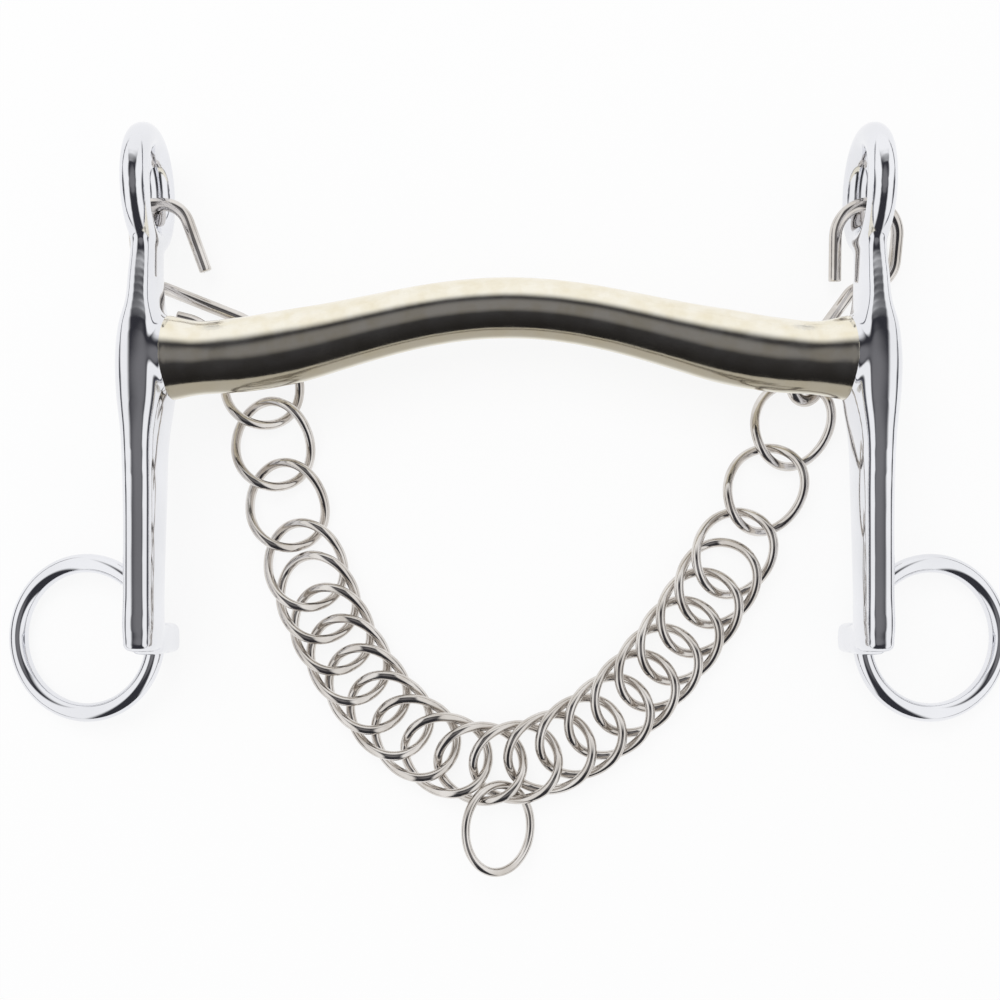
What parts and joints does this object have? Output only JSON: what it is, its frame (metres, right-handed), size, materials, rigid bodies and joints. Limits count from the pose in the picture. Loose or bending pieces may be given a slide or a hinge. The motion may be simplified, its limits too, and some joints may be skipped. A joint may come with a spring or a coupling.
{
  "type": "curb bit",
  "caption": "Fixed-cheek curb bit with an arched mouthpiece, rein rings in rearward feet, wire curb hooks, a twisted-link curb chain and a fly link.",
  "frame": {"origin": "middle of the whole bit on the surface that it lies on", "axes": "+X along the mouthpiece to the right cheek, +Y from the feet to the eyes, +Z away from the surface, towards the front of the bit"},
  "size_m": [0.2164, 0.1576, 0.027],
  "materials": {
    "polished_steel": "bright polished stainless steel",
    "german_silver": "polished warm nickel-copper alloy",
    "chain_steel": "tumbled bright stainless wire"
  },
  "bodies": {
    "bit": {"mouthpiece": "german_silver", "left_cheek": "polished_steel", "right_cheek": "polished_steel"},
    "left_rein_ring": {"left_rein_ring": "polished_steel"},
    "right_rein_ring": {"right_rein_ring": "polished_steel"},
    "left_curb_hook": {"left_curb_hook": "chain_steel"},
    "right_curb_hook": {"right_curb_hook": "chain_steel"},
    "link_01": {"link_01": "chain_steel"},
    "link_02": {"link_02": "chain_steel"},
    "link_03": {"link_03": "chain_steel"},
    "link_04": {"link_04": "chain_steel"},
    "link_05": {"link_05": "chain_steel"},
    "link_06": {"link_06": "chain_steel"},
    "link_07": {"link_07": "chain_steel"},
    "link_08": {"link_08": "chain_steel"},
    "link_09": {"link_09": "chain_steel"},
    "link_10": {"link_10": "chain_steel"},
    "link_11": {"link_11": "chain_steel"},
    "link_12": {"link_12": "chain_steel"},
    "link_13": {"link_13": "chain_steel"},
    "link_14": {"link_14": "chain_steel"},
    "link_15": {"link_15": "chain_steel"},
    "link_16": {"link_16": "chain_steel"},
    "link_17": {"link_17": "chain_steel"},
    "link_18": {"link_18": "chain_steel"},
    "link_19": {"link_19": "chain_steel"},
    "link_20": {"link_20": "chain_steel"},
    "link_21": {"link_21": "chain_steel"},
    "link_22": {"link_22": "chain_steel"},
    "link_23": {"link_23": "chain_steel"},
    "link_24": {"link_24": "chain_steel"},
    "fly_link": {"fly_link": "chain_steel"}
  },
  "joints": [
    {"name": "right_ring_swing", "type": "hinge", "parent": "bit", "child": "right_rein_ring", "pos_m": [0.075, -0.02812, 0.0085], "axis": [0, 1, 0], "range_deg": [-9, 118]},
    {"name": "left_ring_swing", "type": "hinge", "parent": "bit", "child": "left_rein_ring", "pos_m": [-0.075, -0.02812, 0.0085], "axis": [0, -1, 0], "range_deg": [-9, 118]},
    {"name": "hook_swing", "type": "hinge", "parent": "bit", "child": "left_curb_hook", "pos_m": [-0.075, 0.06528, 0.0135], "axis": [1, 0, 0], "range_deg": [0, 110]},
    {"name": "right_hook_swing", "type": "hinge", "parent": "bit", "child": "right_curb_hook", "pos_m": [0.075, 0.06528, 0.0135], "axis": [1, 0, 0], "range_deg": [0, 110]},
    {"name": "chain_sway", "type": "hinge", "parent": "left_curb_hook", "child": "link_01", "pos_m": [-0.0545, 0.03558, 0.0034], "axis": [0, 0, 1], "range_deg": [-5, 5]},
    {"name": "link_02_turn", "type": "hinge", "parent": "link_01", "child": "link_02", "pos_m": [-0.05213, 0.02016, 0.0034], "axis": [0, 0, 1], "range_deg": [-1.15, 1.15]},
    {"name": "link_03_turn", "type": "hinge", "parent": "link_02", "child": "link_03", "pos_m": [-0.04943, 0.00694, 0.0034], "axis": [0, 0, 1], "range_deg": [-1.15, 1.15]},
    {"name": "link_04_turn", "type": "hinge", "parent": "link_03", "child": "link_04", "pos_m": [-0.04593, -0.00609, 0.0034], "axis": [0, 0, 1], "range_deg": [-1.15, 1.15]},
    {"name": "link_05_turn", "type": "hinge", "parent": "link_04", "child": "link_05", "pos_m": [-0.04263, -0.01602, 0.0034], "axis": [0, 0, 1], "range_deg": [-1.15, 1.15]},
    {"name": "link_06_turn", "type": "hinge", "parent": "link_05", "child": "link_06", "pos_m": [-0.03977, -0.0229, 0.0034], "axis": [0, 0, 1], "range_deg": [-1.15, 1.15]},
    {"name": "link_07_turn", "type": "hinge", "parent": "link_06", "child": "link_07", "pos_m": [-0.03647, -0.02957, 0.0034], "axis": [0, 0, 1], "range_deg": [-1.15, 1.15]},
    {"name": "link_08_turn", "type": "hinge", "parent": "link_07", "child": "link_08", "pos_m": [-0.03264, -0.03595, 0.0034], "axis": [0, 0, 1], "range_deg": [-1.15, 1.15]},
    {"name": "link_09_turn", "type": "hinge", "parent": "link_08", "child": "link_09", "pos_m": [-0.02817, -0.04188, 0.0034], "axis": [0, 0, 1], "range_deg": [-1.15, 1.15]},
    {"name": "link_10_turn", "type": "hinge", "parent": "link_09", "child": "link_10", "pos_m": [-0.02295, -0.04716, 0.0034], "axis": [0, 0, 1], "range_deg": [-1.15, 1.15]},
    {"name": "link_11_turn", "type": "hinge", "parent": "link_10", "child": "link_11", "pos_m": [-0.01681, -0.05146, 0.0034], "axis": [0, 0, 1], "range_deg": [-0.7, 0.7]},
    {"name": "link_12_turn", "type": "hinge", "parent": "link_11", "child": "link_12", "pos_m": [-0.00979, -0.05429, 0.0034], "axis": [0, 0, 1], "range_deg": [-0.7, 0.7]},
    {"name": "link_13_turn", "type": "hinge", "parent": "link_12", "child": "link_13", "pos_m": [-0.00229, -0.05517, 0.0034], "axis": [0, 0, 1], "range_deg": [-0.7, 0.7]},
    {"name": "link_14_turn", "type": "hinge", "parent": "link_13", "child": "link_14", "pos_m": [0.0052, -0.05406, 0.0034], "axis": [0, 0, 1], "range_deg": [-0.7, 0.7]},
    {"name": "link_24_turn", "type": "hinge", "parent": "right_curb_hook", "child": "link_24", "pos_m": [0.064, 0.02628, 0.0034], "axis": [0, 0, 1], "range_deg": [-3.89, 3.89]},
    {"name": "link_23_turn", "type": "hinge", "parent": "link_24", "child": "link_23", "pos_m": [0.05806, 0.01089, 0.0034], "axis": [0, 0, 1], "range_deg": [-0.73, 0.73]},
    {"name": "link_22_turn", "type": "hinge", "parent": "link_23", "child": "link_22", "pos_m": [0.05179, -0.00306, 0.0034], "axis": [0, 0, 1], "range_deg": [-0.73, 0.73]},
    {"name": "link_21_turn", "type": "hinge", "parent": "link_22", "child": "link_21", "pos_m": [0.04662, -0.01319, 0.0034], "axis": [0, 0, 1], "range_deg": [-0.73, 0.73]},
    {"name": "link_20_turn", "type": "hinge", "parent": "link_21", "child": "link_20", "pos_m": [0.04285, -0.0196, 0.0034], "axis": [0, 0, 1], "range_deg": [-0.73, 0.73]},
    {"name": "link_19_turn", "type": "hinge", "parent": "link_20", "child": "link_19", "pos_m": [0.03877, -0.02583, 0.0034], "axis": [0, 0, 1], "range_deg": [-0.73, 0.73]},
    {"name": "link_18_turn", "type": "hinge", "parent": "link_19", "child": "link_18", "pos_m": [0.03435, -0.03183, 0.0034], "axis": [0, 0, 1], "range_deg": [-0.73, 0.73]},
    {"name": "link_17_turn", "type": "hinge", "parent": "link_18", "child": "link_17", "pos_m": [0.02954, -0.03751, 0.0034], "axis": [0, 0, 1], "range_deg": [-0.73, 0.73]},
    {"name": "link_16_turn", "type": "hinge", "parent": "link_17", "child": "link_16", "pos_m": [0.02428, -0.04277, 0.0034], "axis": [0, 0, 1], "range_deg": [-0.73, 0.73]},
    {"name": "link_15_turn", "type": "hinge", "parent": "link_16", "child": "link_15", "pos_m": [0.01852, -0.04746, 0.0034], "axis": [0, 0, 1], "range_deg": [-0.73, 0.73]},
    {"name": "fly_link_swing", "type": "hinge", "parent": "link_12", "child": "fly_link", "pos_m": [0.00407, -0.06292, -0.00021], "axis": [-0.6203, 0.6373, 0.4572], "range_deg": [0, 36]}
  ],
  "couplings": [
    {"joint": "right_hook_swing", "follows": "hook_swing", "ratio": 1},
    {"joint": "link_02_turn", "follows": "chain_sway", "ratio": -0.19026},
    {"joint": "link_03_turn", "follows": "chain_sway", "ratio": -0.19026},
    {"joint": "link_04_turn", "follows": "chain_sway", "ratio": -0.19026},
    {"joint": "link_05_turn", "follows": "chain_sway", "ratio": -0.19026},
    {"joint": "link_06_turn", "follows": "chain_sway", "ratio": -0.19026},
    {"joint": "link_07_turn", "follows": "chain_sway", "ratio": -0.19026},
    {"joint": "link_08_turn", "follows": "chain_sway", "ratio": -0.19026},
    {"joint": "link_09_turn", "follows": "chain_sway", "ratio": -0.19026},
    {"joint": "link_10_turn", "follows": "chain_sway", "ratio": -0.19026},
    {"joint": "link_11_turn", "follows": "chain_sway", "ratio": 0.1},
    {"joint": "link_12_turn", "follows": "chain_sway", "ratio": 0.1},
    {"joint": "link_13_turn", "follows": "chain_sway", "ratio": 0.1},
    {"joint": "link_14_turn", "follows": "chain_sway", "ratio": 0.1},
    {"joint": "link_24_turn", "follows": "chain_sway", "ratio": 0.73826},
    {"joint": "link_23_turn", "follows": "chain_sway", "ratio": -0.10506},
    {"joint": "link_22_turn", "follows": "chain_sway", "ratio": -0.10506},
    {"joint": "link_21_turn", "follows": "chain_sway", "ratio": -0.10506},
    {"joint": "link_20_turn", "follows": "chain_sway", "ratio": -0.10506},
    {"joint": "link_19_turn", "follows": "chain_sway", "ratio": -0.10506},
    {"joint": "link_18_turn", "follows": "chain_sway", "ratio": -0.10506},
    {"joint": "link_17_turn", "follows": "chain_sway", "ratio": -0.10506},
    {"joint": "link_16_turn", "follows": "chain_sway", "ratio": -0.10506},
    {"joint": "link_15_turn", "follows": "chain_sway", "ratio": -0.10506}
  ]
}
